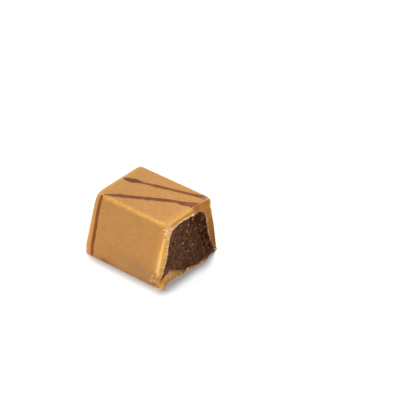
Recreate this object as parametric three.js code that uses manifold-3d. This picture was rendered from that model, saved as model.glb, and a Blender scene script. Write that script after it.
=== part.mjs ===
// A moulded caramel-chocolate praline bar, cut across so that its dark filling shows.
// Units are millimetres and +Z is up. The cut faces +X and the long side with the
// drizzle running down it faces -Y. The origin lies on the resting surface, under the
// middle of the piece.

import * as THREE from 'three';
import { mergeVertices } from 'three/addons/utils/BufferGeometryUtils.js';
import Module from 'manifold-3d';

const wasm = await Module();
wasm.setup();

// The bar as it leaves the mould
const BAR_LENGTH = 41; // along the base, before it is cut
const WIDTH = 20; // across the base
const HEIGHT = 15.4;
const SIDE_LEAN = 2.7; // each long side leans in by this much from base to top
const END_LEAN = 2.7; // each end leans in by this much from base to top
const FOOT_CORNER_RADIUS = 2.8; // upright corners, at the base
const TOP_CORNER_RADIUS = 0.65; // upright corners, at the top
const TOP_EDGE_RADIUS = 0.45; // edges round the top

// The cut
const PIECE_LENGTH = 24; // moulded end to the furthest point of the broken base
// How far beyond the cut the base breaks off, as [y, distance] across the bar
const BASE_BREAK = [
  [-10, 0.25],
  [-9.5, 0.34],
  [-9.1, 0.2],
  [-7.7, 0],
  [-6.1, -0.2],
  [-4.4, -0.2],
  [-2.8, -0.05],
  [-2.1, 0.2],
  [-0.9, 0],
  [0.8, 0.5],
  [2.2, 0.88],
  [4.1, 0.82],
  [5.8, 0.27],
  [8.1, 0.1],
  [10, -0.2],
];
const BREAK_HEIGHT = 2; // this fades out about so far up the cut
const TOP_DIP = 0.3; // the top edge is worn back by this much
const TOP_DIP_AT = 3.4; // where along the top edge it is
const TOP_DIP_SPREAD = 2.2; // and over how much of that edge
const FRONT_CHIP = 1.1; // the front wall has splintered back by this much
const FRONT_CHIP_AT = 5.3; // height of the deepest splinter
const FRONT_CHIP_SPREAD = 3.8; // and how far it fades up and down the wall
const FRONT_BEVEL = 0.45; // all of the front wall above its foot is broken slantwise
const STRIPES = 0.1; // height of the level ripples left in the splintered front wall
const STRIPE_STEP = 1.1; // spacing of those ripples
const RIM_GRAIN = 0.12; // height of the fracture's grain on the shell
const RIM_GRAIN_STEP = 0.7; // spacing of that grain
const CRUMB = 0.1; // height of the crumbs on the filling's face
const CRUMB_STEP = 0.9; // spacing of the coarse crumbs, the fine ones are half as far apart
const RIM_STEP = 0.33; // mesh spacing on the shell's broken rim
const FILLING_STEP = 0.4; // mesh spacing on the filling's cut face
const FLAKE = 0.5; // size of the flakes chipped off the rim's outer edge
const BASE_BITE = 0.4; // share of a flake's size that it takes out of the base's edge

// The shell round the filling
const FRONT_WALL = 1.65;
const END_WALL = 2;
const GAP = 0.3; // clearance between shell and filling

// The drizzle, low beads of chocolate on the shell
const BEAD = 0.15; // how far it stands proud
const LINE = 0.9; // width of a thin line
const BLOB = 1.45; // width where the line starts or ends

const END_X = -PIECE_LENGTH / 2; // foot of the moulded end
const FURTHEST_BREAK = Math.max(...BASE_BREAK.map(([, beyond]) => beyond));
const CUT_X = PIECE_LENGTH / 2 - FURTHEST_BREAK; // plane of the cut
const BAR_X = END_X + BAR_LENGTH / 2; // middle of the uncut bar
const PAST = 2; // how far a cutting block reaches past what it cuts

// Small helpers

function toSolid(geometry) {
  const bare = geometry.clone();
  bare.deleteAttribute('normal');
  bare.deleteAttribute('uv');
  const merged = mergeVertices(bare, 1e-5);
  return new wasm.Manifold(
    new wasm.Mesh({
      numProp: 3,
      vertProperties: new Float32Array(merged.attributes.position.array),
      triVerts: new Uint32Array(merged.index.array),
    }),
  );
}

function toGeometry(solid) {
  const mesh = solid.getMesh();
  const geometry = new THREE.BufferGeometry();
  geometry.setAttribute('position', new THREE.BufferAttribute(mesh.vertProperties, 3));
  geometry.setIndex(new THREE.BufferAttribute(mesh.triVerts, 1));
  geometry.computeVertexNormals();
  return geometry;
}

// A bump of height 1 at t = 0 that fades out by about |t| = 2
function bell(t) {
  return Math.exp(-t * t);
}

// Repeatable number from 0 to 1 for a point of a whole-number grid
function lattice(i, j) {
  const s = Math.sin(i * 127.1 + j * 311.7) * 43758.5453;
  return s - Math.floor(s);
}

// Repeatable number from low to high, the k-th of a row of such numbers
function between(low, high, k, row) {
  return THREE.MathUtils.lerp(low, high, lattice(k, row));
}

// Smooth unevenness from -1 to 1, with bumps about one unit apart
function unevenness(u, v) {
  const i = Math.floor(u);
  const j = Math.floor(v);
  const a = THREE.MathUtils.smoothstep(u - i, 0, 1);
  const b = THREE.MathUtils.smoothstep(v - j, 0, 1);
  const near = THREE.MathUtils.lerp(lattice(i, j), lattice(i + 1, j), a);
  const far = THREE.MathUtils.lerp(lattice(i, j + 1), lattice(i + 1, j + 1), a);
  return 2 * THREE.MathUtils.lerp(near, far, b) - 1;
}

// Half the bar's width at a height, down its leaning sides
function halfWidth(z) {
  return WIDTH / 2 - (SIDE_LEAN * z) / HEIGHT;
}

// The moulded bar

function roundedRectangle(halfX, halfY, radius, z) {
  const CORNER_STEPS = 5;
  const ring = [];
  for (let quarter = 0; quarter < 4; quarter++) {
    const signX = quarter === 0 || quarter === 3 ? 1 : -1;
    const signY = quarter < 2 ? 1 : -1;
    for (let k = 0; k <= CORNER_STEPS; k++) {
      const angle = (quarter + k / CORNER_STEPS) * (Math.PI / 2);
      ring.push(
        new THREE.Vector3(
          BAR_X + signX * (halfX - radius) + radius * Math.cos(angle),
          signY * (halfY - radius) + radius * Math.sin(angle),
          z,
        ),
      );
    }
  }
  return ring;
}

// A closed skin over a stack of rings with equally many points, lowest ring first
function skin(rings) {
  const count = rings[0].length;
  const index = [];
  for (let r = 0; r + 1 < rings.length; r++) {
    for (let k = 0; k < count; k++) {
      const a = r * count + k;
      const b = r * count + ((k + 1) % count);
      index.push(a, b, b + count, a, b + count, a + count);
    }
  }
  const last = (rings.length - 1) * count;
  for (let k = 1; k + 1 < count; k++) {
    index.push(0, k + 1, k);
    index.push(last, last + k, last + k + 1);
  }
  const geometry = new THREE.BufferGeometry().setFromPoints(rings.flat());
  geometry.setIndex(index);
  return geometry;
}

// The whole bar with leaning sides and rounded top edges, all its faces moved out by grow
function mouldedBar(grow) {
  const EDGE_STEPS = 4;
  const lean = Math.atan(SIDE_LEAN / HEIGHT);
  const centreZ = HEIGHT + grow - TOP_EDGE_RADIUS;
  const rings = [roundedRectangle(BAR_LENGTH / 2 + grow, WIDTH / 2 + grow, FOOT_CORNER_RADIUS, 0)];
  const centreX = BAR_LENGTH / 2 + grow - (END_LEAN * centreZ) / HEIGHT - TOP_EDGE_RADIUS;
  const centreY = halfWidth(centreZ) + grow - TOP_EDGE_RADIUS / Math.cos(lean);
  for (let k = 0; k <= EDGE_STEPS; k++) {
    const angle = THREE.MathUtils.lerp(lean, Math.PI / 2, k / EDGE_STEPS);
    const out = TOP_EDGE_RADIUS * Math.cos(angle);
    const radius = TOP_CORNER_RADIUS - TOP_EDGE_RADIUS + out;
    const z = centreZ + TOP_EDGE_RADIUS * Math.sin(angle);
    rings.push(roundedRectangle(centreX + out, centreY + out, radius, z));
  }
  return toSolid(skin(rings));
}

// The cut

// How far beyond the plane of the cut the base broke off at y, fading out with height
function baseBreak(y, z) {
  const passed = BASE_BREAK.filter(([stop]) => stop <= y).length;
  const next = THREE.MathUtils.clamp(passed, 1, BASE_BREAK.length - 1);
  const [y0, distance0] = BASE_BREAK[next - 1];
  const [y1, distance1] = BASE_BREAK[next];
  const share = THREE.MathUtils.clamp((y - y0) / (y1 - y0), 0, 1);
  return THREE.MathUtils.lerp(distance0, distance1, share) * bell(z / BREAK_HEIGHT);
}

// How far the shell's broken rim lies beyond the plane of the cut
function rimRelief(y, z) {
  const frontWall = Math.max(0, 1 - (y + halfWidth(z)) / FRONT_WALL);
  const foot = bell(z / BREAK_HEIGHT);
  const dip = TOP_DIP * bell((y - TOP_DIP_AT) / TOP_DIP_SPREAD) * bell((HEIGHT - z) / BREAK_HEIGHT);
  const splinter = FRONT_CHIP * bell((z - FRONT_CHIP_AT) / FRONT_CHIP_SPREAD);
  const broken = frontWall * (FRONT_BEVEL * (1 - foot) + splinter);
  const wander = 2 * unevenness(y / 2, z / 2);
  const stripes = STRIPES * frontWall * Math.sin((2 * Math.PI * z) / STRIPE_STEP + wander);
  const roughest = Math.max(frontWall, foot, 0.3);
  const grain = RIM_GRAIN * roughest * unevenness(y / RIM_GRAIN_STEP, z / RIM_GRAIN_STEP);
  return baseBreak(y, z) - dip - broken + stripes + grain;
}

// How far the filling's crumbly face lies beyond that plane
function fillingRelief(y, z) {
  const coarse = unevenness(y / CRUMB_STEP, z / CRUMB_STEP);
  const fine = unevenness((2 * y) / CRUMB_STEP, (2 * z) / CRUMB_STEP);
  return baseBreak(y, z) - CRUMB + CRUMB * coarse + 0.5 * CRUMB * fine;
}

// Everything beyond the cut, as a block whose face towards the piece follows the relief
function beyondCut(relief, step) {
  const depth = BAR_LENGTH;
  const across = WIDTH + 2 * PAST;
  const high = HEIGHT + 2 * PAST;
  const rows = Math.round(across / step);
  const columns = Math.round(high / step);
  const block = new THREE.BoxGeometry(depth, across, high, 1, rows, columns);
  block.translate(CUT_X + depth / 2, 0, HEIGHT / 2);
  const at = block.attributes.position;
  for (let k = 0; k < at.count; k++) {
    if (at.getX(k) < CUT_X + PAST) {
      at.setX(k, CUT_X + relief(at.getY(k), at.getZ(k)));
    }
  }
  return toSolid(block);
}

// A flake broken off round a point of the surface
function flake(x, y, z, size) {
  const lump = new THREE.IcosahedronGeometry(size, 0);
  lump.rotateX(x + y);
  lump.rotateZ(z);
  lump.translate(x, y, z);
  return toSolid(lump);
}

// The flakes missing from the rim's outer edges, up the front wall and along the base,
// and from the crumbled foot of the front wall beside the cut
function missingFlakes() {
  const UP_FRONT = 6;
  const ALONG_BASE = 6;
  const AT_FOOT = 4;
  const flakes = [];
  for (let k = 0; k < UP_FRONT; k++) {
    const z = (HEIGHT * (k + lattice(k, 1))) / UP_FRONT;
    const y = -halfWidth(z);
    flakes.push(flake(CUT_X + rimRelief(y, z), y, z, FLAKE * between(0.6, 1.2, k, 2)));
  }
  for (let k = 0; k < ALONG_BASE; k++) {
    const y = WIDTH * ((k + lattice(k, 3)) / ALONG_BASE - 0.5);
    const size = FLAKE * between(0.6, 1, k, 4);
    const x = CUT_X + rimRelief(y, 0) + (1 - BASE_BITE) * size;
    flakes.push(flake(x, y, -size / 3, size));
  }
  for (let k = 0; k < AT_FOOT; k++) {
    const z = between(0.4, 2.4, k, 5);
    const size = FLAKE * between(0.7, 1.2, k, 6);
    flakes.push(flake(CUT_X - between(0, 2, k, 7), -halfWidth(z) - size / 2, z, size));
  }
  return flakes.reduce((all, one) => all.add(one));
}

// The filling's section

// Outline across the bar, y to the right and z up: it fills the shell except where the
// base is thick under the front wall, and a thin tongue runs down between the two.
function fillingOutline() {
  const outline = new THREE.Shape();
  outline.moveTo(-9.25, 2);
  outline.quadraticCurveTo(-7.3, 5.2, -7, 7.4);
  outline.lineTo(-6.1, 12);
  outline.quadraticCurveTo(-5.4, 13.7, -3.1, 13.85);
  outline.lineTo(3.2, 13.4);
  outline.quadraticCurveTo(5.6, 13.1, 5.95, 10.2);
  outline.quadraticCurveTo(6, 7.2, 7.6, 3.5);
  outline.lineTo(9.1, 0.6);
  outline.lineTo(-1.2, 0.45);
  outline.lineTo(-5.9, 2.85);
  outline.quadraticCurveTo(-6.8, 3.3, -7.6, 2.6);
  outline.lineTo(-9.25, 2);
  return outline.extractPoints(5).shape.slice(0, -1);
}

// The same outline moved inwards all round
function insetOutline(points, inset) {
  return points.map((point, k) => {
    const before = points.at(k - 1);
    const after = points[(k + 1) % points.length];
    const arriving = point.clone().sub(before).normalize();
    const leaving = after.clone().sub(point).normalize();
    const inward = new THREE.Vector2(arriving.y + leaving.y, -arriving.x - leaving.x).normalize();
    const slant = inward.x * leaving.y - inward.y * leaving.x;
    return point.clone().addScaledVector(inward, inset / Math.max(slant, 0.3));
  });
}

// The outline carried along the bar from the end wall to past the cut
function fillingBody(inset) {
  const outline = insetOutline(fillingOutline(), inset);
  const start = END_X + END_WALL + inset;
  const depth = CUT_X + PAST - start;
  const body = new THREE.ExtrudeGeometry(new THREE.Shape(outline), { depth, bevelEnabled: false });
  const alongBar = new THREE.Matrix4().makeBasis(
    new THREE.Vector3(0, 1, 0),
    new THREE.Vector3(0, 0, 1),
    new THREE.Vector3(1, 0, 0),
  );
  body.applyMatrix4(alongBar);
  body.translate(start, 0, 0);
  const at = body.attributes.position;
  for (let k = 0; k < at.count; k++) {
    if (at.getX(k) < start + PAST) {
      at.setX(k, at.getX(k) + (END_LEAN * at.getZ(k)) / HEIGHT);
    }
  }
  return toSolid(body);
}

// The drizzle

// A line of drizzle seen flat: stops are [u, v, width], joined straight, with round ends.
// Here u runs along the bar from the cut, and v across the bar or up it.
function drizzleOutline(stops) {
  const END_STEPS = 4;
  const first = new THREE.Vector2(stops[0][0], stops[0][1]);
  const last = new THREE.Vector2(stops.at(-1)[0], stops.at(-1)[1]);
  const heading = last.clone().sub(first).angle();
  const outline = [];
  const place = ([u, v, width], turn) => {
    const angle = heading + turn;
    outline.push(new THREE.Vector2(u + 0.5 * width * Math.cos(angle), v + 0.5 * width * Math.sin(angle)));
  };
  stops.slice(0, -1).forEach((stop) => place(stop, -Math.PI / 2));
  for (let k = 0; k <= END_STEPS; k++) {
    place(stops.at(-1), -Math.PI / 2 + (Math.PI * k) / END_STEPS);
  }
  stops.slice(1, -1).reverse().forEach((stop) => place(stop, Math.PI / 2));
  for (let k = 0; k <= END_STEPS; k++) {
    place(stops[0], Math.PI / 2 + (Math.PI * k) / END_STEPS);
  }
  return new THREE.Shape(outline);
}

// Lines on the top face, as upright prisms through it
function drizzleOnTop(stops) {
  const prism = new THREE.ExtrudeGeometry(drizzleOutline(stops), { depth: PAST, bevelEnabled: false });
  prism.translate(CUT_X, 0, HEIGHT - PAST / 2);
  return toSolid(prism);
}

// A line on the front face, as a level prism through it
function drizzleOnFront(stops) {
  const depth = SIDE_LEAN + PAST;
  const prism = new THREE.ExtrudeGeometry(drizzleOutline(stops), { depth, bevelEnabled: false });
  const intoFront = new THREE.Matrix4().makeBasis(
    new THREE.Vector3(1, 0, 0),
    new THREE.Vector3(0, 0, 1),
    new THREE.Vector3(0, -1, 0),
  );
  prism.applyMatrix4(intoFront);
  prism.translate(CUT_X, depth - WIDTH / 2 - PAST / 2, 0);
  return toSolid(prism);
}

// Three strokes: one from a blob near the end to the back of the cut, one from the front
// corner to the middle of the cut, and the same line carried on down the front face
function drizzle() {
  const back = drizzleOnTop([
    [-19.4, 0.85, LINE],
    [-17.8, 1.35, BLOB],
    [-16.8, 1.65, BLOB],
    [-15.4, 2.05, LINE],
    [-2.2, 5.9, LINE],
    [-1.2, 6.3, BLOB],
    [PAST, 7, BLOB],
  ]);
  const front = drizzleOnTop([
    [-18.8, -7.25, LINE],
    [-11.4, -2.8, LINE],
    [-4.1, 1.35, LINE],
    [-3, 1.6, BLOB],
    [0, 3.9, BLOB],
  ]);
  const down = drizzleOnFront([
    [-18.6, HEIGHT + 1, LINE],
    [-19.25, 11.2, LINE],
    [-19.75, 4.4, LINE],
    [-19.75, -PAST, LINE],
  ]);
  return back.add(front).add(down).intersect(mouldedBar(BEAD));
}

// The pieces

function makeShell() {
  const solid = mouldedBar(0)
    .add(drizzle())
    .subtract(fillingBody(0))
    .subtract(beyondCut(rimRelief, RIM_STEP))
    .subtract(missingFlakes());
  const caramelChocolate = new THREE.MeshStandardMaterial({
    color: 0xcb9558,
    roughness: 0.45,
    metalness: 0,
  });
  const shell = new THREE.Mesh(toGeometry(solid), caramelChocolate);
  shell.name = 'shell';
  return shell;
}

function makeFilling() {
  const solid = fillingBody(GAP).subtract(beyondCut(fillingRelief, FILLING_STEP));
  const darkGanache = new THREE.MeshStandardMaterial({
    color: 0x4e3325,
    roughness: 0.8,
    metalness: 0,
  });
  const filling = new THREE.Mesh(toGeometry(solid), darkGanache);
  filling.name = 'filling';
  return filling;
}

const praline = new THREE.Group();
praline.name = 'praline';
praline.add(makeShell(), makeFilling());

export default praline;
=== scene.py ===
import math

import bmesh
import bpy
import numpy as np
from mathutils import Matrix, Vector


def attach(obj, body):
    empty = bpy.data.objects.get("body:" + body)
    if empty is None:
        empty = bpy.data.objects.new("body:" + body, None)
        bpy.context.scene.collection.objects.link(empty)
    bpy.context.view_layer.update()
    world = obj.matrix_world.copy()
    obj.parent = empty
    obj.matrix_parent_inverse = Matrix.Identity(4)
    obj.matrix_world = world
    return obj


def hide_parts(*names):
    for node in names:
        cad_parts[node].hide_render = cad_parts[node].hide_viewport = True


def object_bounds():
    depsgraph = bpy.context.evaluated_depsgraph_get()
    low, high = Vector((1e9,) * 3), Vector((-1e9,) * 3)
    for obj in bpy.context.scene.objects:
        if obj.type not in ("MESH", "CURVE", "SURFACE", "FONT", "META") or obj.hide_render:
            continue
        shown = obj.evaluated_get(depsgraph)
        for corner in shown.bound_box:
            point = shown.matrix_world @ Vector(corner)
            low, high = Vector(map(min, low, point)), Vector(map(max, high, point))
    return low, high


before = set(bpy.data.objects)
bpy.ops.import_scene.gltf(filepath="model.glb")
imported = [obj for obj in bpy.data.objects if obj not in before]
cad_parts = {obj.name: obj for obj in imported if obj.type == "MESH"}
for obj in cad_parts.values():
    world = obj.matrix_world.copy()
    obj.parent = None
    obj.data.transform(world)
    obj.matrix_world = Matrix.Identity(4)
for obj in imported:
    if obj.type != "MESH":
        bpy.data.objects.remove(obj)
cad_low, cad_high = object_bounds()


# The shell. Caramel-coloured chocolate poured into a mould with leaning sides, drained to a wall
# of about two millimetres and closed with a thin base. A knife went through the top and the back;
# the front wall splintered off slantwise, and the foot of the cut crumbled.
MM = 0.001

bead = 0.15  # the frame's box goes this far above the top, for the drizzle
furthest_break = 0.95  # and this far past the plane of the cut, for the broken base
end_x = cad_low.x / MM
cut_x = cad_high.x / MM - furthest_break
half_base = cad_high.y / MM
top_z = cad_high.z / MM - bead
side_lean = 2.7  # each side leans in by this much from base to top, and so does the end
end_lean = 2.7
top_round = 0.5  # radius of the edges round the top, except at the back
back_round = 0.25
foot_round = 0.1
end_corner = ((0.0, 2.95), (1.5, 2.05), (4.0, 1.8), (15.4, 0.55))  # heights, and the radius there
end_wall = 2.0

# How far the rim's outer edge lies beyond the plane of the cut: by height up the front and the
# back, and by the place across the bar along the top and the base.
front_edge = ((0.0, 0.5), (0.5, 0.3), (1.6, -0.45), (3.0, -1.22), (4.1, -1.52), (5.3, -1.55),
              (6.6, -1.43), (7.9, -1.26), (9.2, -0.98), (10.5, -0.8), (11.8, -0.52), (13.5, -0.42),
              (15.4, -0.38))
top_edge = ((-7.3, -0.38), (-6.6, -0.2), (-2.9, -0.2), (-1.1, -0.28), (0.8, -0.4), (2.6, -0.4),
            (4.4, -0.3), (5.6, -0.1), (6.4, 0.0), (7.3, 0.1))
back_edge = ((0.0, -0.2), (3.0, -0.1), (6.0, 0.02), (8.0, 0.08), (10.0, 0.02), (11.8, 0.08),
             (12.9, -0.12), (14.2, 0.2), (15.4, 0.1))
base_edge = ((-10.0, 0.5), (-9.6, 0.5), (-9.0, 0.34), (-7.75, 0.05), (-6.1, -0.2), (-4.4, -0.2),
             (-2.8, 0.0), (-2.1, 0.3), (-0.9, 0.16), (0.83, 0.5), (2.2, 0.88), (4.1, 0.82),
             (5.9, 0.55), (6.4, 0.25), (6.9, 0.22), (8.1, 0.1), (10.0, -0.2))
lip = 0.72  # the foot of the cut stands out by this much, at this place across the bar
lip_at = 3.3
lip_spread = (2.4, 2.0)


def half_width(z):
    """Half the bar's width at a height."""
    return half_base - side_lean * z / top_z


def smooth(value, low, high):
    """0 below low, 1 above high, an even slope between."""
    share = np.clip((value - low) / (high - low), 0, 1)
    return share * share * (3 - 2 * share)


def bell(value):
    """1 at 0, fading out by about 2."""
    return np.exp(-np.square(value))


def spot(across, up, place, reach):
    """1 at a place, fading out over a reach each way."""
    return bell(np.hypot((across - place[0]) / reach[0], (up - place[1]) / reach[1]))


def scattered(cells, seed):
    """A repeatable number from 0 to 1 for each cell of a grid."""
    stirred = (cells * np.array([73856093, 19349663, 83492791])[: cells.shape[-1]]).sum(-1)
    stirred = (stirred + seed * 2654435761) & 0x7FFFFFFF
    stirred = ((stirred ^ (stirred >> 13)) * 1274126177) & 0x7FFFFFFF
    stirred = ((stirred ^ (stirred >> 15)) * 668265263) & 0x7FFFFFFF
    return (stirred >> 7 & 0xFFFF) / 0xFFFF


def uneven(size, seed, *places):
    """Smooth unevenness from -1 to 1, with bumps of about that size."""
    cell = np.stack(np.broadcast_arrays(*places), axis=-1) / size
    home = np.floor(cell).astype(np.int64)
    share = cell - home
    share = share * share * (3 - 2 * share)
    total = 0
    for step in np.ndindex((2,) * cell.shape[-1]):
        weight = np.prod(np.where(step, share, 1 - share), axis=-1)
        total = total + weight * scattered(home + np.array(step), seed)
    return 2 * total - 1


def lumps(size, seed, *places):
    """Lumps crowded together: 1 on top of a lump, 0 in the gaps, and a number for each lump."""
    cell = np.stack(np.broadcast_arrays(*places), axis=-1) / size
    home = np.floor(cell).astype(np.int64)
    nearest = np.full(cell.shape[:-1], 9.0)
    number = np.zeros(cell.shape[:-1])
    for step in np.ndindex((3,) * cell.shape[-1]):
        there = home + np.array(step) - 1
        jitter = [scattered(there, seed + 10 * k + 1) for k in range(cell.shape[-1])]
        distance = np.linalg.norm(cell - there - np.stack(jitter, -1), axis=-1)
        closer = distance < nearest
        nearest = np.where(closer, distance, nearest)
        number = np.where(closer, scattered(there, seed + 77), number)
    return np.clip(1 - nearest * nearest / 0.6, 0, 1), number


def rounded_outline(corners, radii, spacings):
    """Points and outward directions round a shape with rounded corners, seen from the cut."""
    corners = np.array(corners, float)
    sides = np.roll(corners, -1, axis=0) - corners
    sides /= np.linalg.norm(sides, axis=1)[:, None]
    outward = np.stack([-sides[:, 1], sides[:, 0]], axis=1)
    arcs = []
    for k, radius in enumerate(radii):
        before, after = outward[k - 1], outward[k]
        turn = math.acos(before @ after)
        lean = (before + after) / np.linalg.norm(before + after)
        middle = corners[k] - lean * radius / math.cos(turn / 2)
        angles = math.atan2(before[1], before[0]) - np.linspace(0, turn, 9)
        directions = np.stack([np.cos(angles), np.sin(angles)], axis=1)
        arcs.append((middle + radius * directions, directions))
    points, directions = [], []
    for k, spacing in enumerate(spacings):
        start, stop = arcs[k][0][-1], arcs[(k + 1) % len(arcs)][0][0]
        count = round(np.linalg.norm(stop - start) / spacing)
        shares = np.linspace(0, 1, count + 1)[1:-1, None]
        points += [arcs[k][0], start + (stop - start) * shares]
        directions += [arcs[k][1], np.repeat(outward[k][None], count - 1, axis=0)]
    return np.concatenate(points), np.concatenate(directions)


def bent(start, pull, stop, count=14):
    """A smooth bend from start to stop, drawn towards pull."""
    start, pull, stop = np.array(start), np.array(pull), np.array(stop)
    t = np.linspace(0, 1, count)[:-1, None]
    return (1 - t) ** 2 * start + 2 * t * (1 - t) * pull + t ** 2 * stop


half_top = half_base - side_lean
section, section_out = rounded_outline(
    corners=((-half_base, 0), (-half_top, top_z), (half_top, top_z), (half_base, 0)),
    radii=(foot_round, top_round, back_round, foot_round),
    spacings=(0.1, 0.1, 0.11, 0.16),
)
skin_y, skin_z = section.T
around = np.concatenate([[0], np.cumsum(np.linalg.norm(np.diff(section, axis=0), axis=1))])
on_front = (section_out[:, 0] < -0.7) & (skin_z < top_z - top_round)
on_top = section_out[:, 1] > 0.7
on_base = section_out[:, 1] < -0.7

# The hollow's outline at the cut, as the start of each bend and the place that it is drawn towards.
# It thins the front wall to a point at the foot, and leaves the base no thicker than a skin except
# near the front.
hollow_bends = (
    ((-9.6, 1.85), (-8.05, 4.4)),
    ((-7.15, 6.6), (-6.7, 9.4)),
    ((-5.95, 11.8), (-5.3, 13.5)),
    ((-3.3, 13.7), (-0.4, 13.9)),
    ((1.4, 13.45), (2.6, 13.2)),
    ((3.4, 13.45), (5.6, 12.6)),
    ((6.3, 10.2), (6.5, 7.2)),
    ((7.5, 3.9), (8.3, 2.2)),
    ((9.15, 0.6), (4.0, 0.3)),
    ((-1.0, 0.35), (-3.4, 1.5)),
    ((-5.9, 2.85), (-6.7, 3.3)),
    ((-7.3, 2.6), (-8.4, 2.0)),
)
next_bends = hollow_bends[1:] + hollow_bends[:1]
hollow = np.concatenate([
    bent(start, pull, stop) for (start, pull), (stop, _) in zip(hollow_bends, next_bends)
])
middle_y, middle_z = 0.0, 9.0


def bearing(y, z):
    """The direction of a place on the cut, seen from the middle of the hollow."""
    return np.arctan2(z - middle_z, y - middle_y)


hollow_reach = np.hypot(hollow[:, 0] - middle_y, hollow[:, 1] - middle_z)
skin_bearing = bearing(skin_y, skin_z)
reach = np.interp(skin_bearing, bearing(*hollow.T), hollow_reach, period=2 * math.pi)
reach = reach + 0.08 * uneven(0.9, 3, around) + 0.1 * uneven(0.45, 4, around)
hollow_y = middle_y + reach * np.cos(skin_bearing)
hollow_z = middle_z + reach * np.sin(skin_bearing)
wall = np.hypot(hollow_y - skin_y, hollow_z - skin_z)


def read_off(places, table):
    """Values read off a table of places and values."""
    return np.interp(places, *zip(*table))


edge = np.where(skin_y < 0, read_off(skin_z, front_edge), read_off(skin_z, back_edge))
edge = np.where(on_top, read_off(skin_y, top_edge), edge)
edge = np.where(on_base, read_off(skin_y, base_edge), edge)
for _ in range(4):  # rounds off its bends
    edge = (np.roll(edge, 1) + 2 * edge + np.roll(edge, -1)) / 4


def lip_relief(y, z):
    """How far the lip of base and filling stands out at the foot of the cut."""
    return lip * spot(y, z, (lip_at, 0.0), lip_spread)


def splintered(y, z):
    """1 on the splintered front wall."""
    return (1 - smooth(y + half_width(z), 1.3, 2.3)) * smooth(z, 1.0, 3.0)


def crumbled(y, z):
    """1 where the rim crumbled: its top front corner and its foot."""
    corner_part = spot(y, z, (-7.0, 14.4), (1.15, 2.4))
    foot_part = (1 - smooth(z, 0.3, 1.3)) * (0.35 + 0.4 * smooth(y, -3, -1))
    return np.maximum(corner_part, foot_part)


def rolled(y, z):
    """1 on the top of the rim, from the front to the drizzle, where the knife rolled the edge over."""
    return (1 - smooth(top_z - z, 1.7, 2.4)) * (1 - smooth(y, 1.1, 2.3)) * smooth(y, -7.0, -6.2)


def striped(y, z):
    """The level stripes that the splintering left on the front wall."""
    return np.sin(2 * math.pi * z / 0.68 + 2.4 * uneven(1.0, 12, y, z))


def rim_lumps(y, z):
    """Lumps of broken chocolate on the rim."""
    return lumps(0.45, 16, y, z)


def rim_point(share):
    """The rim's surface at a share of the way from the skin to the hollow."""
    y = skin_y + (hollow_y - skin_y) * share
    z = skin_z + (hollow_z - skin_z) * share
    depth = wall * share
    split, crumb, roll = splintered(y, z), crumbled(y, z), rolled(y, z)
    inner = lip_relief(y, z)
    x = cut_x + inner + (edge - inner) * (1 - share) ** (1.4 + 0.7 * split)

    # The edge is rounded, and where the knife rolled it over a groove runs beside it.
    radius = 0.14 + 0.4 * roll
    bulge = 0.12 + 0.1 * roll
    up_to = np.clip(1 - depth / radius, 0, None)
    turned = np.sqrt(1 - np.square(up_to)) - smooth(depth, radius, radius + 0.4)
    x = x + bulge * turned - 0.08 * roll * bell((share - 0.58) / 0.12)

    # The fracture has stripes, grain and lumps.
    x = x + 0.06 * split * smooth(share, 0.35, 0.6) * striped(y, z)
    coarse = 0.2 + split * smooth(share, 0.3, 0.6) + 2.0 * crumb
    x = x + coarse * (0.03 * uneven(0.55, 13, y, z) + 0.03 * uneven(0.24, 14, y, z))
    lump, number = rim_lumps(y, z)
    crusty = np.maximum(crumb, roll * smooth(share, 0.66, 0.76))
    x = x + 0.16 * crusty * lump * number

    # A knob is left at the front foot, and the outer edge is ragged.
    x = x + 0.34 * spot(y, z, (-9.6, 0.45), (0.45, 0.5))
    ragged = 0.01 + 0.05 * split + 0.1 * crumb
    x = x + ragged * (uneven(0.5, 15, around) + uneven(0.22, 17, around)) * np.exp(-depth / 0.25)
    return np.stack([x, y, z], axis=-1)


def skin_relief(x, along):
    """How far the moulded skin stands out from its true form."""
    waves = 0.02 * uneven(6.0, 21, x, along) + 0.008 * uneven(1.7, 22, x, along)
    return waves + 0.003 * uneven(0.5, 23, x, along)


def foot_stain(beyond, z):
    """1 on the streak of filling smeared over the crumbled patch."""
    return spot(beyond, z, (-1.35, 0.75), (0.75, 0.28))


def foot_patch(x, along):
    """1 on the crumbled patch of skin low on the front, beside the cut."""
    height = np.interp(along, around, skin_z)
    spread = np.hypot((x - cut_x + 1.5) / 1.3, (height - 1.5) / 1.4)
    spread = spread + 0.3 * uneven(0.7, 24, x, along)
    return (1 - smooth(spread, 0.7, 1.1)) * (along < top_z)


corner_at = read_off(skin_z, end_corner)
rounding = corner_at + (top_round - corner_at) * np.clip(section_out[:, 1], 0, 1) ** 2
skin_start = end_x + end_lean * skin_z / top_z + rounding
loops, from_edge, into_wall, end_turn = [], [], [], []
far = 99  # given as the distance from the rim's edge on the end, and with a minus in the hollow


def add_loop(points, off_edge, share, turn):
    """One more loop of the shell's skin: its place, its distance from the rim's edge, how far
    into the wall it lies, and the angle that it has turned towards the end."""
    loops.append(points)
    from_edge.append(np.broadcast_to(off_edge, skin_y.shape))
    into_wall.append(np.full(skin_y.shape, share))
    end_turn.append(np.full(skin_y.shape, turn))


# Corners that the mould and the knife left blunt: where each is, which way it is blunted, by how
# much, and how far that reaches.
blunted = (
    ((end_x + end_lean, -half_top, top_z), (0.6, 0.5, -0.62), 0.3, 1.4),
    ((end_x + end_lean, half_top, top_z), (0.6, -0.5, -0.62), 0.14, 0.8),
    ((cut_x, half_top, top_z), (0.0, -0.7, -0.7), 0.16, 0.7),
)


def blunt(points):
    """The points with the blunted corners pressed in."""
    moved = points
    for corner_place, way, amount, spread in blunted:
        away = np.linalg.norm(points - np.array(corner_place), axis=-1, keepdims=True)
        moved = moved + amount * bell(away / spread) * np.array(way)
    return moved


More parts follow.
